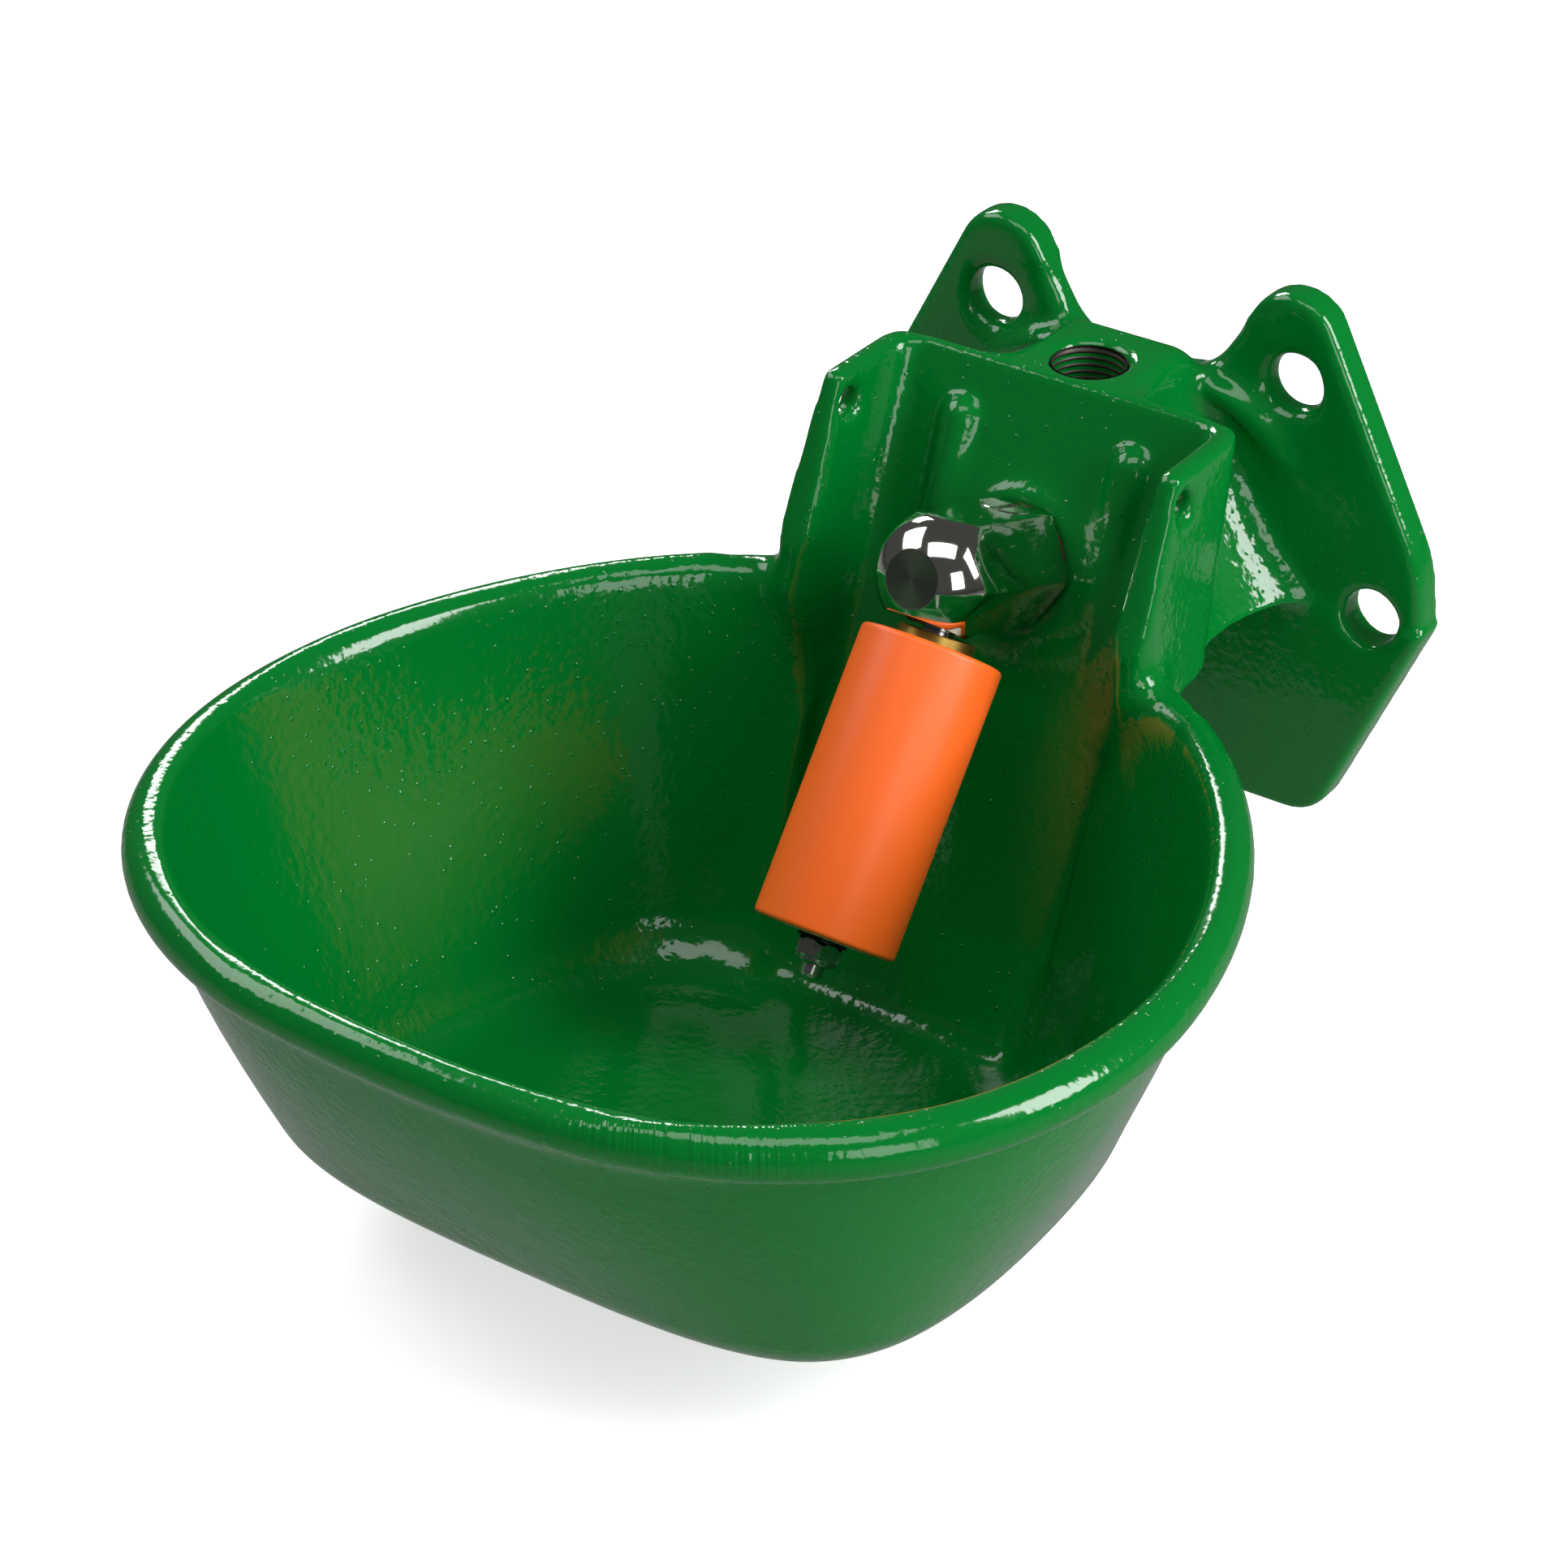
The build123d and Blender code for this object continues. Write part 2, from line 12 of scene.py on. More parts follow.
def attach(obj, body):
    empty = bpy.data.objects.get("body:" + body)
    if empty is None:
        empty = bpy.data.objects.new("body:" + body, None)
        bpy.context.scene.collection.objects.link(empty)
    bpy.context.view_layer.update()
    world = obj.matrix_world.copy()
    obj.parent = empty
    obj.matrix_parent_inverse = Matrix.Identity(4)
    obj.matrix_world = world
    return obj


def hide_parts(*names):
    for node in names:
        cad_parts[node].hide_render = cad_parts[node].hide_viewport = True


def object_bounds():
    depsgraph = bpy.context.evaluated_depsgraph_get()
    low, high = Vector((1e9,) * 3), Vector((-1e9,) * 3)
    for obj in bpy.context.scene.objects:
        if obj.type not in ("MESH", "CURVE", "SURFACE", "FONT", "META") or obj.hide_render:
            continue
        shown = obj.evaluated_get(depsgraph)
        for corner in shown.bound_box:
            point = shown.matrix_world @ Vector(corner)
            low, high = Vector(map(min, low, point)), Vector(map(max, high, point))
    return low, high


bl_info = {
    "name": "Livestock drinking bowl",
    "version": (1, 0, 0),
    "blender": (4, 5, 0),
    "location": "View3D > Sidebar > Drinking bowl",
    "description": "Dresses the drinking bowl's CAD model: enamelled casting, plated valve, orange sleeve",
    "category": "Object",
}

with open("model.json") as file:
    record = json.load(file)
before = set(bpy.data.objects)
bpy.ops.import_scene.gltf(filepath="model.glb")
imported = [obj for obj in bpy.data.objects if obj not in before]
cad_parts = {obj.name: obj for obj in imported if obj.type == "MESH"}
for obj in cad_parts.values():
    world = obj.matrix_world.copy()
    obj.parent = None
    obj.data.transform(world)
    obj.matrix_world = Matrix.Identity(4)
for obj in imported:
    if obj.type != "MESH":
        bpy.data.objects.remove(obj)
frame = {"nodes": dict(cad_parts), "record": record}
CAD_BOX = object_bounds()
MM = 0.001

# Sizes of the casting in mm, from the CAD model
RIM_CENTRE_Y = -192.1
RIM_RADIUS = 118.14
INLET_Y = -32.9

# Sizes of the plated housing in mm: radii about the valve's axis and distances along it
SPIGOT_RADIUS = 13.1
SPIGOT_END = -15
SHOULDER = 1.2
HALF_FLATS = 14.5
TURNED_RADIUS = 16.74
TAPER_START = 30.4
DOME_CENTRE = 33
DOME_RADIUS = 16.2
DOME_SPAN = radians(63.5)
NOSE_FLAT = 47.5
SCREW_AT = 9.5

# Distances along the push rod in mm, from its pivot
SLEEVE_TOP = 24.5
SLEEVE_END = 98.0
TUBE_END = 97.0

# The valve's axis and the push rod's, as the CAD model has them, in metres
VALVE_TILT = radians(19.35)
ROD_TILT = radians(38.25)
VALVE_ORIGIN = Vector((0, -65.505, 19.8)) * MM
VALVE_AXIS = Vector((0, -cos(VALVE_TILT), sin(VALVE_TILT)))
VALVE_UP = Vector((0, sin(VALVE_TILT), cos(VALVE_TILT)))
PIVOT = VALVE_ORIGIN + VALVE_UP * 5 * MM + VALVE_AXIS * 22.9 * MM
ROD_AXIS = Vector((0, -sin(ROD_TILT), -cos(ROD_TILT)))


def placed(origin, along):
    """A matrix whose z axis runs along the given direction and whose x axis is the frame's."""
    across = Vector((1, 0, 0))
    third = along.cross(across)
    turn = Matrix((across, third, along)).transposed().to_4x4()
    return Matrix.Translation(origin) @ turn


VALVE = placed(VALVE_ORIGIN, VALVE_AXIS)
ROD = placed(PIVOT, ROD_AXIS)
SCREW = placed(VALVE_ORIGIN + VALVE_AXIS * SCREW_AT * MM, VALVE_UP)


def linear(colour):
    """Turns an sRGB hex colour into linear red, green, blue."""
    parts = [int(colour[i : i + 2], 16) / 255 for i in (1, 3, 5)]
    return tuple(c / 12.92 if c <= 0.04045 else ((c + 0.055) / 1.055) ** 2.4 for c in parts)


def colour_setting(name, description, colour):
    """A colour that a user can change in the panel."""
    return FloatVectorProperty(
        name=name, description=description, subtype="COLOR", size=3, min=0, max=1, default=linear(colour)
    )


class BowlFinish(PropertyGroup):
    """Colours and sizes of the casting's finish."""

    enamel: colour_setting("Enamel", "Colour of the gloss enamel on the casting", "#006E26")
    raw_iron: colour_setting("Raw iron", "Colour of the cut thread in the water inlet", "#4A4440")
    skin: FloatProperty(
        name="Skin step", description="Size of the casting's surface cells", default=0.9 * MM, unit="LENGTH"
    )
    peel: FloatProperty(
        name="Orange peel", description="Width of one ripple in the enamel", default=2.6 * MM, unit="LENGTH"
    )


class ValveFinish(PropertyGroup):
    """Colours and sizes of the valve, the tube and the sleeve."""

    nickel: colour_setting("Nickel", "Colour of the plated housing", "#DAD7D0")
    brass: colour_setting("Brass", "Colour of the bare brass tube", "#B4924A")
    sleeve: colour_setting("Sleeve", "Colour of the orange plastic sleeve", "#FF6A1E")
    steel: colour_setting("Steel", "Colour of the stainless rod and nut", "#A8A6A2")
    turns: IntProperty(name="Facets", description="Facets round each turned piece", default=128)


class StageLook(PropertyGroup):
    """Camera, floor and lamps."""

    lens: FloatProperty(name="Lens", description="Focal length of the camera", default=104.33, unit="CAMERA")
    azimuth: FloatProperty(
        name="Azimuth", description="Camera's turn to the right", default=radians(34.798), subtype="ANGLE"
    )
    elevation: FloatProperty(
        name="Elevation", description="Camera's height angle", default=radians(31.597), subtype="ANGLE"
    )
    lamps: FloatProperty(
        name="Lamp power", description="Factor on every softbox", default=1.0, subtype="FACTOR"
    )


def add(tree, kind, links=(), **settings):
    """Adds a shader node, sets its fields and inputs, and links other nodes' outputs to it."""
    node = tree.nodes.new(kind)
    for name, value in settings.items():
        if hasattr(node, name):
            setattr(node, name, value)
        else:
            node.inputs[name.replace("_", " ")].default_value = value
    for name, output in dict(links).items():
        tree.links.new(output, node.inputs[name])
    return node


def ramp(tree, value, low, high, first=0.0, last=1.0):
    """The output of a node that turns a value between low and high into one between first and last."""
    limits = {"From_Min": low, "From_Max": high, "To_Min": first, "To_Max": last}
    return add(tree, "ShaderNodeMapRange", {"Value": value}, **limits).outputs["Result"]


def calculated(tree, operation, first, second=None):
    """The output of a node that combines one or two values."""
    links = {0: first} if second is None else {0: first, 1: second}
    return add(tree, "ShaderNodeMath", links, operation=operation).outputs["Value"]


def new_material(name, colour, **settings):
    """A material with a principled shader whose plain values are set on its own sockets."""
    material = bpy.data.materials.new(name)
    material.use_nodes = True
    tree = material.node_tree
    shader = tree.nodes["Principled BSDF"]
    shader.inputs["Base Color"].default_value = (*colour, 1)
    for socket, value in settings.items():
        shader.inputs[socket.replace("_", " ")].default_value = value
    return material, tree, shader


def gloss_enamel(settings):
    """Gloss enamel sprayed over as-cast iron: deep colour with a wet, rippled shine."""
    material, tree, shader = new_material("gloss_enamel_over_cast_iron", settings.enamel, Roughness=0.11)
    place = add(tree, "ShaderNodeTexCoord").outputs["Object"]
    # Ripples about as wide as they are on the real paint, which break up each highlight
    ripple = add(
        tree, "ShaderNodeTexNoise", {"Vector": place}, Scale=1 / settings.peel, Detail=1.5, Roughness=0.5
    )
    # Long soft swells of the casting under the paint
    swell = add(tree, "ShaderNodeTexNoise", {"Vector": place}, Scale=1 / (14 * MM), Detail=1.0)
    # Where the paint is rough and where it lies smooth
    patch = add(tree, "ShaderNodeTexNoise", {"Vector": place}, Scale=1 / (34 * MM), Detail=2.0)
    share = ramp(tree, patch.outputs["Fac"], 0.35, 0.62, first=0.25)
    # Dust grains caught in the wet paint, each a glint, drawn 1 mm wide so that they show at all
    dust = add(tree, "ShaderNodeTexVoronoi", {"Vector": place}, Scale=1 / (3.4 * MM))
    grain = ramp(tree, dust.outputs["Distance"], 0.0, 0.15, 1.0, 0.0)
    # Upright grinding marks under the paint, on the bead's outer face round the front right.
    # They are found by the turn about the rim's centre, the distance from it and the height.
    offset = add(tree, "ShaderNodeVectorMath", {1: place}, operation="SUBTRACT")
    offset.inputs[0].default_value = (0, RIM_CENTRE_Y * MM, 12 * MM)
    away = add(tree, "ShaderNodeVectorMath", {"Vector": offset.outputs["Vector"]}, operation="LENGTH")
    parts = add(tree, "ShaderNodeSeparateXYZ", {"Vector": offset.outputs["Vector"]})
    turn = calculated(tree, "ARCTAN2", parts.outputs["X"], parts.outputs["Y"])
    height = calculated(tree, "ABSOLUTE", parts.outputs["Z"])
    # Marks stand about 1.5 mm apart on the bead's radius of 124 mm
    marks = add(
        tree, "ShaderNodeTexNoise", {"W": turn}, noise_dimensions="1D", Scale=124 / 1.5, Detail=1.5
    ).outputs["Fac"]
    for limit in (
        ramp(tree, turn, -0.85, -0.65),
        ramp(tree, turn, 0.1, 0.3, 1, 0),
        ramp(tree, away.outputs["Value"], 118 * MM, 120 * MM),
        ramp(tree, height, 5 * MM, 8 * MM, 1, 0),
    ):
        marks = calculated(tree, "MULTIPLY", marks, limit)
    normal = None
    for relief, depth in (
        (swell.outputs["Fac"], 0.14 * MM),
        (calculated(tree, "MULTIPLY", ripple.outputs["Fac"], share), 0.24 * MM),
        (calculated(tree, "MULTIPLY", grain, share), 0.28 * MM),
        (marks, 0.3 * MM),
    ):
        links = {"Height": relief, "Normal": normal} if normal else {"Height": relief}
        normal = add(tree, "ShaderNodeBump", links, Strength=1.0, Distance=depth).outputs["Normal"]
    tree.links.new(normal, shader.inputs["Normal"])
    return material


def roughen(tree, shader, cell, detail, strength, depth):
    """Gives a material an even relief of noise, with cells and depth in mm."""
    place = add(tree, "ShaderNodeTexCoord").outputs["Object"]
    noise = add(tree, "ShaderNodeTexNoise", {"Vector": place}, Scale=1 / (cell * MM), Detail=detail)
    bump = add(
        tree, "ShaderNodeBump", {"Height": noise.outputs["Fac"]}, Strength=strength, Distance=depth * MM
    )
    tree.links.new(bump.outputs["Normal"], shader.inputs["Normal"])


def cut_iron(settings):
    """Cast iron cut by a tap and left bare: dark, dull, with a grey glint on the crests."""
    material, tree, shader = new_material(
        "tapped_bare_cast_iron", settings.raw_iron, Metallic=0.8, Roughness=0.5
    )
    roughen(tree, shader, cell=0.5, detail=2.0, strength=0.4, depth=0.05)
    return material


def bright_nickel(settings):
    """Bright nickel plate on turned brass: a mirror with very slight waves."""
    material, tree, shader = new_material(
        "bright_nickel_on_brass", settings.nickel, Metallic=1.0, Roughness=0.07
    )
    roughen(tree, shader, cell=7, detail=1.0, strength=0.25, depth=0.12)
    return material


def turned_nickel_with_painted_shade(settings):
    """The faced end of the housing: rings left by the lathe tool under the plate, and painted shade that
    darkens the spot.
    """
    # Painted shade: the colour is cut to 0.3 of the nickel for the light the open grooves swallow, so the
    # spot is far darker than the mirror round it
    colour = tuple(c * 0.3 for c in settings.nickel)
    material, tree, shader = new_material("lathe_faced_nickel_painted_dark", colour, Metallic=1.0, Roughness=0.3)
    place = add(tree, "ShaderNodeUVMap", uv_map="turned").outputs["UV"]
    # The UV's first value is the distance from the axis in metres, so rings stand 0.35 mm apart
    rings = add(
        tree,
        "ShaderNodeTexWave",
        {"Vector": place},
        wave_type="BANDS",
        bands_direction="X",
        Scale=2 * pi / (0.35 * MM) / 20,
        Distortion=1.5,
        Detail=2.0,
        Detail_Scale=0.6,
    )
    bump = add(tree, "ShaderNodeBump", {"Height": rings.outputs["Fac"]}, Strength=0.6, Distance=0.06 * MM)
    tree.links.new(bump.outputs["Normal"], shader.inputs["Normal"])
    return material


def drawn_brass(settings):
    """Drawn brass tube with a fine even grain: soft yellow metal."""
    material, tree, shader = new_material(
        "drawn_brass_tube", settings.brass, Metallic=1.0, Roughness=0.36
    )
    roughen(tree, shader, cell=0.4, detail=2.0, strength=0.5, depth=0.04)
    return material


def satin_sleeve(settings):
    """Extruded orange plastic, satin: soft broad highlights along the sleeve."""
    return new_material("extruded_orange_plastic", settings.sleeve, Roughness=0.42)[0]


def plain_finishes(settings):
    """The finishes of the pieces that are mostly hidden, by their slot in the record."""
    steel, brass = tuple(settings.steel), tuple(settings.brass)
    finishes = {
        "stainless_steel": ("machined_stainless_steel", steel, 1.0, 0.22),
        "spring_steel": ("drawn_spring_steel", steel, 1.0, 0.32),
        "dark_steel": ("blackened_steel", linear("#2A2928"), 0.9, 0.4),
        "turned_brass": ("turned_brass", brass, 1.0, 0.25),
        "white_acetal": ("moulded_acetal", linear("#E4E2DA"), 0.0, 0.45),
        "black_nitrile": ("moulded_nitrile_rubber", linear("#171717"), 0.0, 0.6),
        "vulcanised_fibre": ("pressed_vulcanised_fibre", linear("#5A2A20"), 0.0, 0.7),
        "blue_nylon": ("moulded_blue_nylon", linear("#24457E"), 0.0, 0.4),
    }
    return {
        slot: new_material(name, colour, Metallic=metallic, Roughness=roughness)[0]
        for slot, (name, colour, metallic, roughness) in finishes.items()
    }


def mesh_piece(name, vertices, faces, material, body, replaces=(), smooth=35):
    """A finished mesh object that rides on a CAD body and stands for CAD nodes."""
    mesh = bpy.data.meshes.new(name)
    mesh.from_pydata([tuple(v) for v in vertices], [], faces)
    mesh.validate()
    if not mesh.polygons:
        raise RuntimeError(f"{name} has no faces")
    mesh.materials.append(material)
    piece = bpy.data.objects.new(name, mesh)
    bpy.context.scene.collection.objects.link(piece)
    for polygon in mesh.polygons:
        polygon.use_smooth = True
    mesh.set_sharp_from_angle(angle=radians(smooth))
    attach(piece, body)
    if replaces:
        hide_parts(*replaces)
    return piece


def around_turn(count):
    """Evenly spaced angles round one full turn."""
    return [2 * pi * step / count for step in range(count)]


def polar(place, radius, angle, along):
    """The point at a radius, an angle and a distance along a placed axis, from mm to metres."""
    return place @ (Vector((radius * cos(angle), radius * sin(angle), along)) * MM)


def band_faces(rings, around, closed=False):
    """Quads between rings of points that follow each other, and back to the first ring if closed."""
    faces = []
    for ring in range(rings if closed else rings - 1):
        low, high = ring * around, (ring + 1) % rings * around
        for step in range(around):
            after = (step + 1) % around
            faces.append((low + step, low + after, high + after, high + step))
    return faces


def lathe(profile, turns, place, closed=True):
    """Vertices and faces of a profile of (radius, distance) points in mm turned about an axis."""
    angles = around_turn(turns)
    vertices = [polar(place, radius, angle, along) for radius, along in profile for angle in angles]
    return vertices, band_faces(len(profile), turns, closed)


def rounded(points, radius, steps=4):
    """A closed profile whose corners are rounded off with the given radius, in mm."""
    result = []
    count = len(points)
    for i, corner in enumerate(points):
        corner = Vector(corner)
        before = (Vector(points[i - 1]) - corner).normalized()
        after = (Vector(points[(i + 1) % count]) - corner).normalized()
        half = before.angle(after) / 2
        reach = radius / tan(half)
        centre = corner + (before + after).normalized() * radius / sin(half)
        start = corner + before * reach - centre
        end = corner + after * reach - centre
        sweep = start.angle_signed(end)
        for step in range(steps + 1):
            turn = Matrix.Rotation(-sweep * step / steps, 2)
            result.append(tuple(centre + turn @ start))
    return result


def ball_chain(points):
    """Closed round-ended rods through (x, y, z, radius) points in mm, as vertices and faces."""
    around, vertices, faces = 16, [], []
    for low, high in zip(points, points[1:]):
        start, end = Vector(low[:3]), Vector(high[:3])
        turn = (end - start).to_track_quat("Z", "Y")
        base = len(vertices)
        rings = [(start, low[3], tilt) for tilt in (-80, -45, 0)]
        rings += [(end, high[3], tilt) for tilt in (0, 45, 80)]
        for centre, radius, tilt in rings:
            flat = radius * cos(radians(tilt))
            rise = radius * sin(radians(tilt))
            for angle in around_turn(around):
                local = Vector((flat * cos(angle), flat * sin(angle), rise))
                vertices.append((centre + turn @ local) * MM)
        faces += [tuple(base + corner for corner in face) for face in band_faces(len(rings), around)]
        last = base + (len(rings) - 1) * around
        faces.append(tuple(base + step for step in reversed(range(around))))
        faces.append(tuple(last + step for step in range(around)))
    return vertices, faces


def softening(points):
    """How many smoothing passes each point of the skin gets, from where it lies on the casting, in mm."""
    everywhere, most = 9.0, 160
    x, y, z = abs(points[:, 0]), points[:, 1], points[:, 2]
    rounds = np.full(len(points), everywhere)
    from_rim = np.hypot(x, y - RIM_CENTRE_Y) - RIM_RADIUS

    def zone(*ramps):
        """1 inside every (value, low, high) range and 0 outside, with 4 mm ramps."""
        share = np.ones(len(points))
        for value, low, high in ramps:
            share *= np.clip((value - low) / 4, 0, 1) * np.clip((high - value) / 4, 0, 1)
        return share

    inner_rim = zone((from_rim, -26, 2.5), (z, -16, 22), (y, -400, -78))
    shroud_walls = zone((x, 38, 60), (y, -104, -38), (z, 2, 70))
    rim_meets_shroud = zone((x, 38, 70), (y, -108, -70), (z, -22, 26))
    # The inlet's mouth keeps its edge
    beside_inlet = np.clip((np.hypot(x, y - INLET_Y) - 13) / 3, 0, 1)
    neck_top = zone((x, 13, 52), (y, -44, 4), (z, 28, 70)) * beside_inlet
    neck_foot = zone((x, -5, 62), (y, -46, -8), (z, -30, 36))
    housing_seat = zone((np.hypot(x, z - 19), 16, 30), (y, -80, -50))
    pocket_foot = zone((x, -5, 52), (y, -132, -92), (z, -100, -58))
    rounds += 80 * inner_rim + 14 * shroud_walls + 70 * rim_meets_shroud + 150 * pocket_foot
    rounds += 60 * neck_top + 30 * neck_foot + 40 * housing_seat
    return np.minimum(rounds, most)


def smooth_skin(mesh):
    """Evens out the skin, a little everywhere and more where the casting has broad curves."""
    count = len(mesh.vertices)
    points = np.empty(count * 3)
    mesh.vertices.foreach_get("co", points)
    points = points.reshape(-1, 3) * 1000
    edges = np.empty(len(mesh.edges) * 2, dtype=np.int64)
    mesh.edges.foreach_get("vertices", edges)
    one, other = edges[::2], edges[1::2]
    links = np.bincount(one, minlength=count) + np.bincount(other, minlength=count)
    rounds = softening(points)
    for turn in range(int(rounds.max()) + 1):
        share = np.clip(rounds - turn, 0, 1)[:, None] * 0.5
        total = np.stack(
            [
                np.bincount(one, weights=points[other, axis], minlength=count)
                + np.bincount(other, weights=points[one, axis], minlength=count)
                for axis in range(3)
            ],
            axis=1,
        )
        points += share * (total / links[:, None] - points)
    mesh.vertices.foreach_set("co", (points / 1000).ravel())
    mesh.update()


# Rods of (x, y, z, radius) in mm that fill the casting's inner corners, given for its right half:
# down the shroud wall's front edge, from that wall to the rim bead, and from the neck to the ear
BLENDS = (
    [(47, -90, 22, 3.1), (46.9, -93.5, 10, 3.2), (45.5, -91, -4, 2.6), (44, -89, -16, 1.4)],
    [(47, -90, 11, 4.5), (54, -87.5, 8.2, 6.0), (62, -91.5, 8.2, 6.4)],
    [(24, -14, 52, 3), (34, -11, 46, 4), (44, -9, 34, 3)],
)


def build_casting(settings):
    """The casting's skin: the CAD solid with soft blends added, remeshed finely and evened out."""
    source = frame["nodes"]["bowl_casting"]
    shape = bmesh.new()
    shape.from_mesh(source.data)
    for side in (-1, 1):
        for chain in BLENDS:
            vertices, faces = ball_chain([(side * x, y, z, radius) for x, y, z, radius in chain])
            made = [shape.verts.new(v) for v in vertices]
            for face in faces:
                shape.faces.new([made[i] for i in face])
    joined = bpy.data.meshes.new("enamelled_casting")
    shape.to_mesh(joined)
    shape.free()
    piece = bpy.data.objects.new("enamelled_casting", joined)
    bpy.context.scene.collection.objects.link(piece)
    remesh = piece.modifiers.new("skin", "REMESH")
    remesh.mode = "VOXEL"
    remesh.voxel_size = settings.skin
    depsgraph = bpy.context.evaluated_depsgraph_get()
    mesh = bpy.data.meshes.new_from_object(piece.evaluated_get(depsgraph))
    if not mesh.polygons:
        raise RuntimeError("the remesh left nothing of the casting")
    piece.modifiers.clear()
    piece.data = mesh
    smooth_skin(mesh)
    for polygon in mesh.polygons:
        polygon.use_smooth = True
    mesh.materials.clear()
    mesh.materials.append(gloss_enamel(settings))
    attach(piece, "casting_and_housing")
    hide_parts("bowl_casting")
    return piece


def build_inlet_thread(settings):
    """The bare iron thread in the water inlet: a helical ridge on a dark sleeve."""
    pitch, rows_per_turn, around = 1.814, 8, 96
    foot, mouth = 43.5, 60.4
    # The crests stand 0.3 mm proud of the casting's bore, and the grooves end just inside its wall
    crest_radius, groove_depth = 9.0, 0.4
    centre = placed(Vector((0, INLET_Y, 0)) * MM, Vector((0, 0, 1)))
    rows = int((mouth - foot) / pitch * rows_per_turn)
    vertices = []
    for row in range(rows + 1):
        z = foot + (mouth - foot) * row / rows
        for step, angle in enumerate(around_turn(around)):
            phase = (z / pitch - step / around) % 1
            depth = 1 - abs(2 * phase - 1)
            radius = crest_radius + groove_depth * (3 * depth * depth - 2 * depth**3)
            vertices.append(polar(centre, radius, angle, z))
    faces = band_faces(rows + 1, around)
    material = cut_iron(settings)
    return mesh_piece(
        "inlet_thread", vertices, faces, material, "casting_and_housing"
    )


def housing_radius(along, angle):
    """Radius in mm of the housing at a distance along the valve's axis and an angle round it."""
    if along < SHOULDER:
        return SPIGOT_RADIUS
    facet = (angle + pi / 6) % (pi / 3) - pi / 6
    hexagon = HALF_FLATS / cos(facet)
    if along > DOME_CENTRE:
        turned = sqrt(max(DOME_RADIUS**2 - (along - DOME_CENTRE) ** 2, 0))
    elif along > TAPER_START:
        taper = (along - TAPER_START) / (DOME_CENTRE - TAPER_START)
        turned = TURNED_RADIUS - (TURNED_RADIUS - DOME_RADIUS) * taper
    else:
        turned = TURNED_RADIUS
    # A high power mean of the two forms rounds the edge where they meet
    power = 22
    return (hexagon**-power + turned**-power) ** (-1 / power) * 2 ** (0.2 / power)


def cut_away(piece, name, profile, place):
    """Cuts a turned shape out of a piece for good, by an exact boolean."""
    around, on_axis = 96, 0.01
    low, high = profile[0][1], profile[-1][1]
    points, sides = lathe([(on_axis, low), *profile, (on_axis, high)], around, place, closed=False)
    mesh = bpy.data.meshes.new(name)
    mesh.from_pydata([tuple(point) for point in points], [], sides)
    closed = bmesh.new()
    closed.from_mesh(mesh)
    # The ends' middles are rings too small to see, which become one point each
    bmesh.ops.remove_doubles(closed, verts=closed.verts, dist=0.03 * MM)
    bmesh.ops.recalc_face_normals(closed, faces=closed.faces)
    closed.to_mesh(mesh)
    closed.free()
    cutter = bpy.data.objects.new(name, mesh)
    bpy.context.scene.collection.objects.link(cutter)
    boolean = piece.modifiers.new(name, "BOOLEAN")
    boolean.operation = "DIFFERENCE"
    boolean.solver = "EXACT"
    boolean.object = cutter
    depsgraph = bpy.context.evaluated_depsgraph_get()
    result = bpy.data.meshes.new_from_object(piece.evaluated_get(depsgraph))
    if not result.polygons:
        raise RuntimeError(f"{name} left nothing of the housing")
    piece.modifiers.clear()
    piece.data = result
    bpy.data.objects.remove(cutter)


def build_housing(settings):
    """The plated housing: six facets that end in arcs on the dome, and the faced spot at its tip."""
    around, on_axis, seam = 360, 0.001, 0.01
    rows = [float(along) for along in np.linspace(SPIGOT_END, SHOULDER - seam, 6)]
    rows += [float(along) for along in np.linspace(SHOULDER, 31, 60)]
    rows += [DOME_CENTRE + DOME_RADIUS * sin(turn) for turn in np.linspace(0, DOME_SPAN, 90)]
    vertices = [polar(VALVE, on_axis, angle, SPIGOT_END) for angle in around_turn(around)]
    for along in rows:
        for angle in around_turn(around):
            vertices.append(polar(VALVE, housing_radius(along, angle - pi / 2), angle, along))
    vertices += [polar(VALVE, on_axis, angle, NOSE_FLAT) for angle in around_turn(around)]
    piece = mesh_piece(
        "plated_housing",
        vertices,
        band_faces(len(rows) + 2, around),
        bright_nickel(settings),
        "casting_and_housing",
        replaces=("valve_housing",),
        smooth=24,
    )
    # The plane face round the rod's opening, the opening itself, and the flow screw's recess
    cut_away(piece, "rod_spot_face", [(30, 20.7), (30, 42)], ROD)
    opening = ROD @ Matrix.Translation(Vector((0, -2.6, 0)) * MM)
    cut_away(piece, "rod_opening", [(9.4, 4), (9.4, 30)], opening)
    cut_away(piece, "screw_recess", [(6.12, 10.9), (6.12, 20)], SCREW)
    return piece


def build_faced_spot(settings):
    """The flat lathe-faced spot on the dome's tip."""
    # It lies a hair in front of the housing's own flat, so that it alone is seen
    profile = [(radius, NOSE_FLAT + 0.04) for radius in np.linspace(7.0, 0.02, 24)]
    vertices, faces = lathe(profile, settings.turns, VALVE, closed=False)
    material = turned_nickel_with_painted_shade(settings)
    piece = mesh_piece(
        "faced_spot", vertices, faces, material, "casting_and_housing"
    )
    layer = piece.data.uv_layers.new(name="turned")
    inverse = VALVE.inverted()
    for loop in piece.data.loops:
        point = inverse @ piece.data.vertices[loop.vertex_index].co
        turn = atan2(point.y, point.x)
        layer.data[loop.index].uv = (Vector((point.x, point.y)).length, turn * 2 * MM)
    return piece


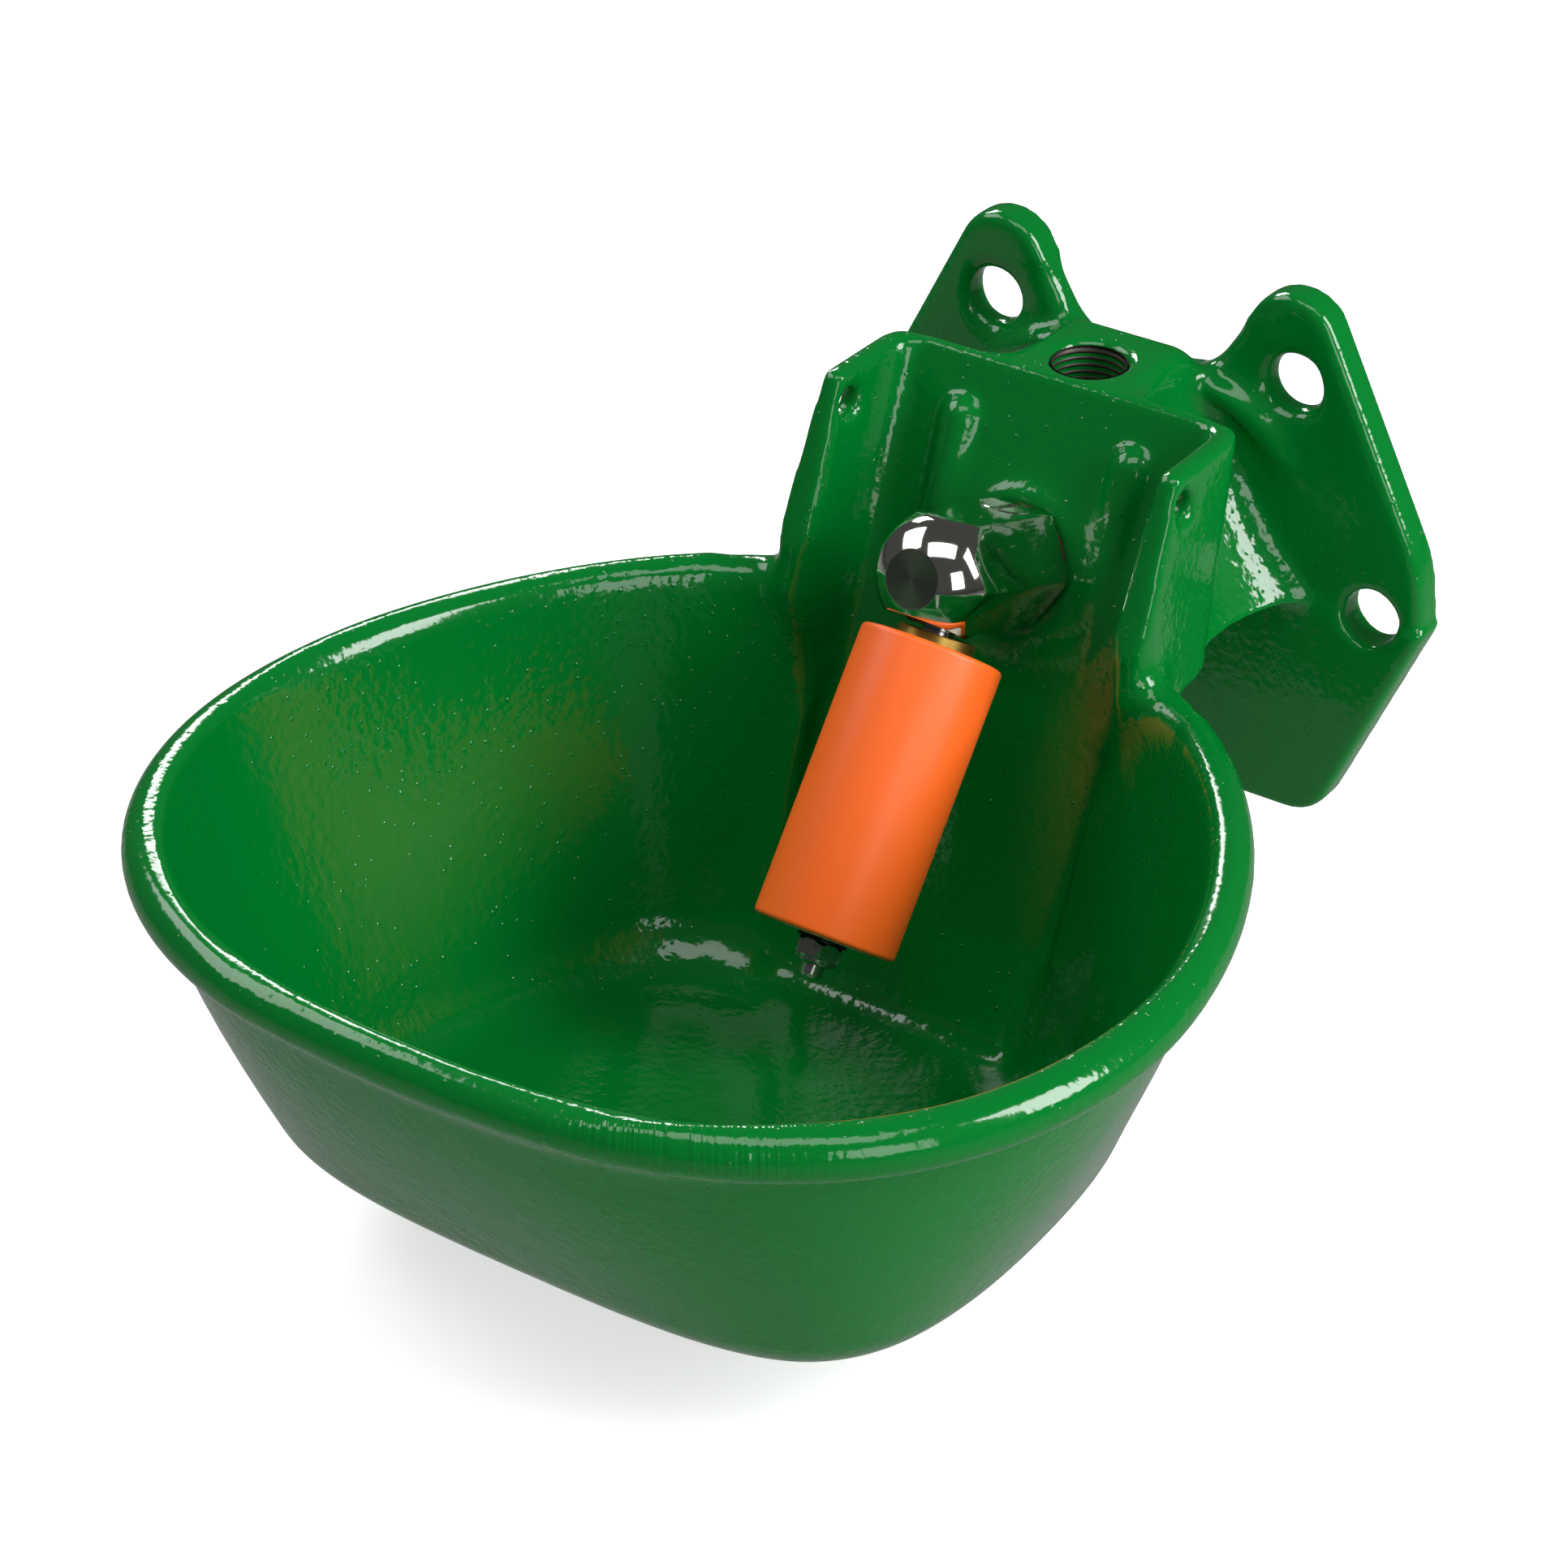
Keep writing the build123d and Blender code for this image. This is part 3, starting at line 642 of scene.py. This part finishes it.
def build_flow_screw(settings):
    """The slotted flow screw, nearly flush in the housing's top flat."""
    around, grid = 96, 72
    head, radius, foot, on_axis = 14.8, 6.0, 11.0, 0.02
    crown_start, crown_fall = 5.5, 1.1
    half_slot, slot_depth = 0.85, 1.35
    # The head is a square grid drawn out to a disc, so that the slot's edges run straight
    vertices = []
    span = np.linspace(-radius, radius, grid + 1)
    for x in span:
        for y in span:
            reach = sqrt(x * x + y * y)
            factor = max(abs(x), abs(y)) / reach if reach > 0 else 1
            px, py = x * factor, y * factor
            past = max(0, sqrt(px * px + py * py) - crown_start)
            slot = 1 / (1 + (abs(px) / half_slot) ** 24)
            z = head - past**2 * crown_fall - slot_depth * slot
            vertices.append(SCREW @ (Vector((px, py, z)) * MM))
    faces = []
    for i in range(grid):
        for j in range(grid):
            low, high = i * (grid + 1) + j, (i + 1) * (grid + 1) + j
            faces.append((low, high, high + 1, low + 1))
    edge = head - (radius - crown_start) ** 2 * crown_fall
    profile = [(radius, edge), (radius, foot), (on_axis, foot)]
    wall, wall_faces = lathe(profile, around, SCREW, closed=False)
    start = len(vertices)
    vertices += wall
    faces += [tuple(corner + start for corner in face) for face in wall_faces]
    material = new_material(
        "satin_nickel_on_turned_brass", tuple(settings.nickel), Metallic=1.0, Roughness=0.16
    )[0]
    return mesh_piece(
        "slotted_flow_screw",
        vertices,
        faces,
        material,
        "flow_screw_group",
        replaces=("flow_screw",),
        smooth=40,
    )


def build_sleeve(settings):
    """The orange sleeve with rounded ends."""
    inner, outer, edge = 14.1, 17.7, 1.3
    corners = [(inner, SLEEVE_TOP), (outer, SLEEVE_TOP), (outer, SLEEVE_END), (inner, SLEEVE_END)]
    vertices, faces = lathe(rounded(corners, edge, 5), settings.turns, ROD)
    material = satin_sleeve(settings)
    return mesh_piece(
        "orange_sleeve",
        vertices,
        faces,
        material,
        "roller_sleeve_group",
        replaces=("roller_sleeve",),
        smooth=60,
    )


def build_tube(settings):
    """The brass tube, whose upper end is cut at a slant beside the housing."""
    outer, inner, edge = 9.6, 8.3, 0.25
    cut_middle, cut_rise, straight = 21.25, 0.85, 30.0
    # Each point says whether its distance is measured from the slanted cut or from the pivot
    profile = (
        (outer - edge, TUBE_END, False), (outer, TUBE_END - edge, False), (outer, straight, False),
        (outer, edge, True), (outer - edge, 0.0, True), (inner + edge, 0.0, True), (inner, edge, True),
        (inner, straight, False),
    )
    vertices = []
    for radius, along, from_cut in profile:
        for angle in around_turn(settings.turns):
            # The frame's local y points away from the wall here, so the cut is lowest in front
            cut = cut_middle + cut_rise * sin(angle)
            vertices.append(polar(ROD, radius, angle, cut + along if from_cut else along))
    faces = band_faces(len(profile), settings.turns, closed=True)
    material = drawn_brass(settings)
    return mesh_piece(
        "brass_tube",
        vertices,
        faces,
        material,
        "push_rod_group",
        replaces=("push_tube",),
        smooth=40,
    )


def build_rod_end(settings):
    """The rod's threaded end below the nut."""
    around, pitch, rows_per_turn = 64, 1.0, 10
    end = 107.9
    core_radius, ridge, crest_flat = 2.5, 0.47, 1.25
    chamfer_length, chamfer_share = 0.8, 0.16
    rows = int((end - SLEEVE_END) / pitch * rows_per_turn)
    vertices = []
    for row in range(rows + 1):
        z = SLEEVE_END + (end - SLEEVE_END) * row / rows
        chamfer = min(1, max(0, (end - z) / chamfer_length))
        for step, angle in enumerate(around_turn(around)):
            phase = (z / pitch + step / around) % 1
            depth = 1 - abs(2 * phase - 1)
            radius = core_radius + ridge * min(1, depth * crest_flat)
            radius *= 1 - chamfer_share + chamfer_share * chamfer
            vertices.append(polar(ROD, radius, angle, z))
    faces = band_faces(rows + 1, around)
    faces.append(tuple(rows * around + step for step in range(around)))
    material = new_material("rolled_stainless_thread", tuple(settings.steel), Metallic=1.0, Roughness=0.2)[0]
    return mesh_piece(
        "rod_thread", vertices, faces, material, "push_rod_group", smooth=50
    )


def build_lock_nut(settings):
    """The lock nut: chamfered hexagon and a bright rolled collar below."""
    around, half_flats, top = 180, 5.4, 99.2
    # Distance below the nut's top, radius, and whether the hexagon limits the radius
    profile = (
        (0, 3.1, False), (0, 5.1, False), (0.15, 5.45, True), (0.75, 6.3, True), (3.6, 6.3, True),
        (3.95, 5.9, True), (4.1, 5.3, True), (4.25, 5.15, False), (5.0, 5.1, False), (5.4, 4.8, False),
        (5.6, 4.3, False), (5.6, 4.1, False), (5.2, 4.1, False), (5.2, 3.1, False),
    )
    vertices = []
    for along, reach, hexed in profile:
        for angle in around_turn(around):
            facet = (angle + pi / 2 + pi / 6) % (pi / 3) - pi / 6
            radius = min(reach, half_flats / cos(facet)) if hexed else reach
            vertices.append(polar(ROD, radius, angle, top + along))
    faces = band_faces(len(profile), around, closed=True)
    material = new_material("polished_stainless_nut", tuple(settings.steel), Metallic=1.0, Roughness=0.16)[0]
    return mesh_piece(
        "hex_lock_nut",
        vertices,
        faces,
        material,
        "push_rod_group",
        replaces=("lock_nut",),
        smooth=30,
    )


def dress_hidden_nodes(settings):
    """Gives every CAD node that still shows the finish of its slot."""
    finishes = plain_finishes(settings)
    for part in frame["record"]["subparts"]:
        finish = finishes.get(part["material_slot"])
        node = frame["nodes"][part["node"]]
        if finish and not node.hide_render:
            node.data.materials.clear()
            node.data.materials.append(finish)


def softbox(name, place, target, size, power):
    """A rectangular softbox lamp that faces the target."""
    lamp = bpy.data.lights.new(name, "AREA")
    lamp.shape = "RECTANGLE"
    lamp.size, lamp.size_y = size
    lamp.energy = power
    holder = bpy.data.objects.new(name, lamp)
    holder.location = place
    holder.rotation_euler = (Vector(target) - Vector(place)).to_track_quat("-Z", "Y").to_euler()
    bpy.context.scene.collection.objects.link(holder)
    return holder


# The softboxes: place and size in metres, and power in watts. They stand where the photograph's
# highlights on the dome point to, and all face the middle of the bowl.
LAMP_TARGET = (0, -0.12, 0.02)
SOFTBOXES = (
    ("rear_left_softbox", (-1.0, 0.72, 0.74), (0.5, 0.34), 6),
    ("left_softbox", (-0.95, -0.3, 0.95), (0.9, 0.7), 8),
    ("top_softbox", (0.2, -0.55, 1.3), (1.1, 0.6), 6.5),
    ("front_right_softbox", (1.15, -0.85, 0.42), (0.5, 0.7), 4),
    ("right_softbox", (1.15, 0.15, 0.72), (0.5, 0.9), 19),
)
CAMERA_PLACE = (0.50398, -0.88761, 0.54914)
WHITE = (1, 1, 1, 1)


def build_floor():
    """Matt pale paper under the bowl, white to the camera and dim in mirrors."""
    below, span = 0.4 * MM, 3.0
    z = CAD_BOX[0][2] - below
    corners = [(-span, -span, z), (span, -span, z), (span, span, z), (-span, span, z)]
    mesh = bpy.data.meshes.new("floor")
    mesh.from_pydata(corners, [], [(0, 1, 2, 3)])
    floor = bpy.data.objects.new("floor", mesh)
    bpy.context.scene.collection.objects.link(floor)
    material = bpy.data.materials.new("matt_white_floor")
    material.use_nodes = True
    tree = material.node_tree
    tree.nodes.clear()
    rays = add(tree, "ShaderNodeLightPath").outputs
    place = add(tree, "ShaderNodeTexCoord").outputs["Object"]
    away = add(tree, "ShaderNodeVectorMath", {"Vector": place}, operation="LENGTH").outputs["Value"]
    # In mirrors the paper's glow fades away from the object, so that low reflections stay dark
    fade = ramp(tree, away, 0.35, 0.9, 0.3, 0.05)
    mirrored = add(tree, "ShaderNodeEmission", {"Strength": fade}, Color=WHITE).outputs[0]
    # To the camera it is lifted to white, the more so where the lamps no longer reach
    lift = ramp(tree, away, 0.6, 1.6, 0.66, 1.0)
    direct = calculated(tree, "MULTIPLY", rays["Is Camera Ray"], lift)
    light = add(tree, "ShaderNodeEmission", {"Strength": direct}, Color=WHITE).outputs[0]
    matt = add(tree, "ShaderNodeBsdfDiffuse", Color=(*linear("#E4E4E4"), 1)).outputs[0]
    paper = add(tree, "ShaderNodeAddShader", {0: light, 1: matt}).outputs[0]
    both = add(tree, "ShaderNodeMixShader", {0: rays["Is Glossy Ray"], 1: paper, 2: mirrored}).outputs[0]
    add(tree, "ShaderNodeOutputMaterial", {"Surface": both})
    mesh.materials.append(material)


def build_world():
    """The room: it lights the object evenly but weakly, is white behind it, and dim in mirrors."""
    world = bpy.data.worlds.new("white_studio")
    bpy.context.scene.world = world
    world.use_nodes = True
    tree = world.node_tree
    tree.nodes.clear()
    rays = add(tree, "ShaderNodeLightPath").outputs
    lighting = ramp(tree, rays["Is Glossy Ray"], 0, 1, 0.1, 0.07)
    seen = calculated(tree, "ADD", rays["Is Camera Ray"], rays["Is Transmission Ray"])
    strength = add(tree, "ShaderNodeMapRange", {"Value": seen, "To Min": lighting}, To_Max=1.0)
    sky = add(tree, "ShaderNodeBackground", {"Strength": strength.outputs["Result"]}, Color=WHITE)
    add(tree, "ShaderNodeOutputWorld", {"Surface": sky.outputs[0]})


def build_stage(look):
    """Pale floor, white surroundings, softboxes and the camera."""
    scene = bpy.context.scene
    scene.view_settings.view_transform = "Standard"
    build_floor()
    build_world()
    for name, place, size, watts in SOFTBOXES:
        softbox(name, place, LAMP_TARGET, size, watts * look.lamps)
    data = bpy.data.cameras.new("photo_camera")
    data.lens = look.lens
    data.sensor_width = 36
    data.clip_start = 0.01
    camera = bpy.data.objects.new("photo_camera", data)
    camera.location = CAMERA_PLACE
    camera.rotation_euler = (pi / 2 - look.elevation, 0, look.azimuth)
    scene.collection.objects.link(camera)
    scene.camera = camera


class BuildCasting(Operator):
    """Builds the enamelled casting and the bare thread in its water inlet"""

    bl_idname = "bowl.build_casting"
    bl_label = "Casting"

    def execute(self, context):
        build_casting(context.scene.bowl_finish)
        build_inlet_thread(context.scene.bowl_finish)
        return {"FINISHED"}


class BuildHousing(Operator):
    """Builds the plated valve housing and its slotted flow screw"""

    bl_idname = "bowl.build_housing"
    bl_label = "Valve housing"

    def execute(self, context):
        build_housing(context.scene.valve_finish)
        build_faced_spot(context.scene.valve_finish)
        build_flow_screw(context.scene.valve_finish)
        return {"FINISHED"}


class BuildSleeve(Operator):
    """Builds the orange sleeve and the brass tube inside it"""

    bl_idname = "bowl.build_sleeve"
    bl_label = "Sleeve and tube"

    def execute(self, context):
        build_sleeve(context.scene.valve_finish)
        build_tube(context.scene.valve_finish)
        return {"FINISHED"}


class BuildRodEnd(Operator):
    """Builds the threaded end of the push rod and its lock nut"""

    bl_idname = "bowl.build_rod_end"
    bl_label = "Rod end"

    def execute(self, context):
        build_rod_end(context.scene.valve_finish)
        build_lock_nut(context.scene.valve_finish)
        return {"FINISHED"}


class DressHiddenPieces(Operator):
    """Gives the valve's inner pieces their finishes"""

    bl_idname = "bowl.dress_hidden_pieces"
    bl_label = "Inner pieces"

    def execute(self, context):
        dress_hidden_nodes(context.scene.valve_finish)
        return {"FINISHED"}


class BuildStage(Operator):
    """Builds the floor, the lamps and the camera"""

    bl_idname = "bowl.build_stage"
    bl_label = "Stage"

    def execute(self, context):
        build_stage(context.scene.stage_look)
        return {"FINISHED"}


class BowlPanel(Panel):
    """Lists the pieces, colours and sizes in the 3D view's sidebar"""

    bl_idname = "VIEW3D_PT_drinking_bowl"
    bl_label = "Drinking bowl"
    bl_space_type = "VIEW_3D"
    bl_region_type = "UI"
    bl_category = "Drinking bowl"

    def draw(self, context):
        layout = self.layout
        scene = context.scene
        for group in (scene.bowl_finish, scene.valve_finish, scene.stage_look):
            for name in group.__annotations__:
                layout.prop(group, name)
        for operator in OPERATORS:
            layout.operator(operator.bl_idname)


OPERATORS = (BuildCasting, BuildHousing, BuildSleeve, BuildRodEnd, DressHiddenPieces, BuildStage)
CLASSES = (BowlFinish, ValveFinish, StageLook, *OPERATORS, BowlPanel)


def register():
    for cls in CLASSES:
        bpy.utils.register_class(cls)
    bpy.types.Scene.bowl_finish = PointerProperty(type=BowlFinish)
    bpy.types.Scene.valve_finish = PointerProperty(type=ValveFinish)
    bpy.types.Scene.stage_look = PointerProperty(type=StageLook)


def unregister():
    del bpy.types.Scene.stage_look
    del bpy.types.Scene.valve_finish
    del bpy.types.Scene.bowl_finish
    for cls in reversed(CLASSES):
        bpy.utils.unregister_class(cls)


def main():
    register()
    bpy.ops.bowl.build_casting()
    bpy.ops.bowl.build_housing()
    bpy.ops.bowl.build_sleeve()
    bpy.ops.bowl.build_rod_end()
    bpy.ops.bowl.dress_hidden_pieces()
    bpy.ops.bowl.build_stage()


if __name__ == "__main__":
    main()
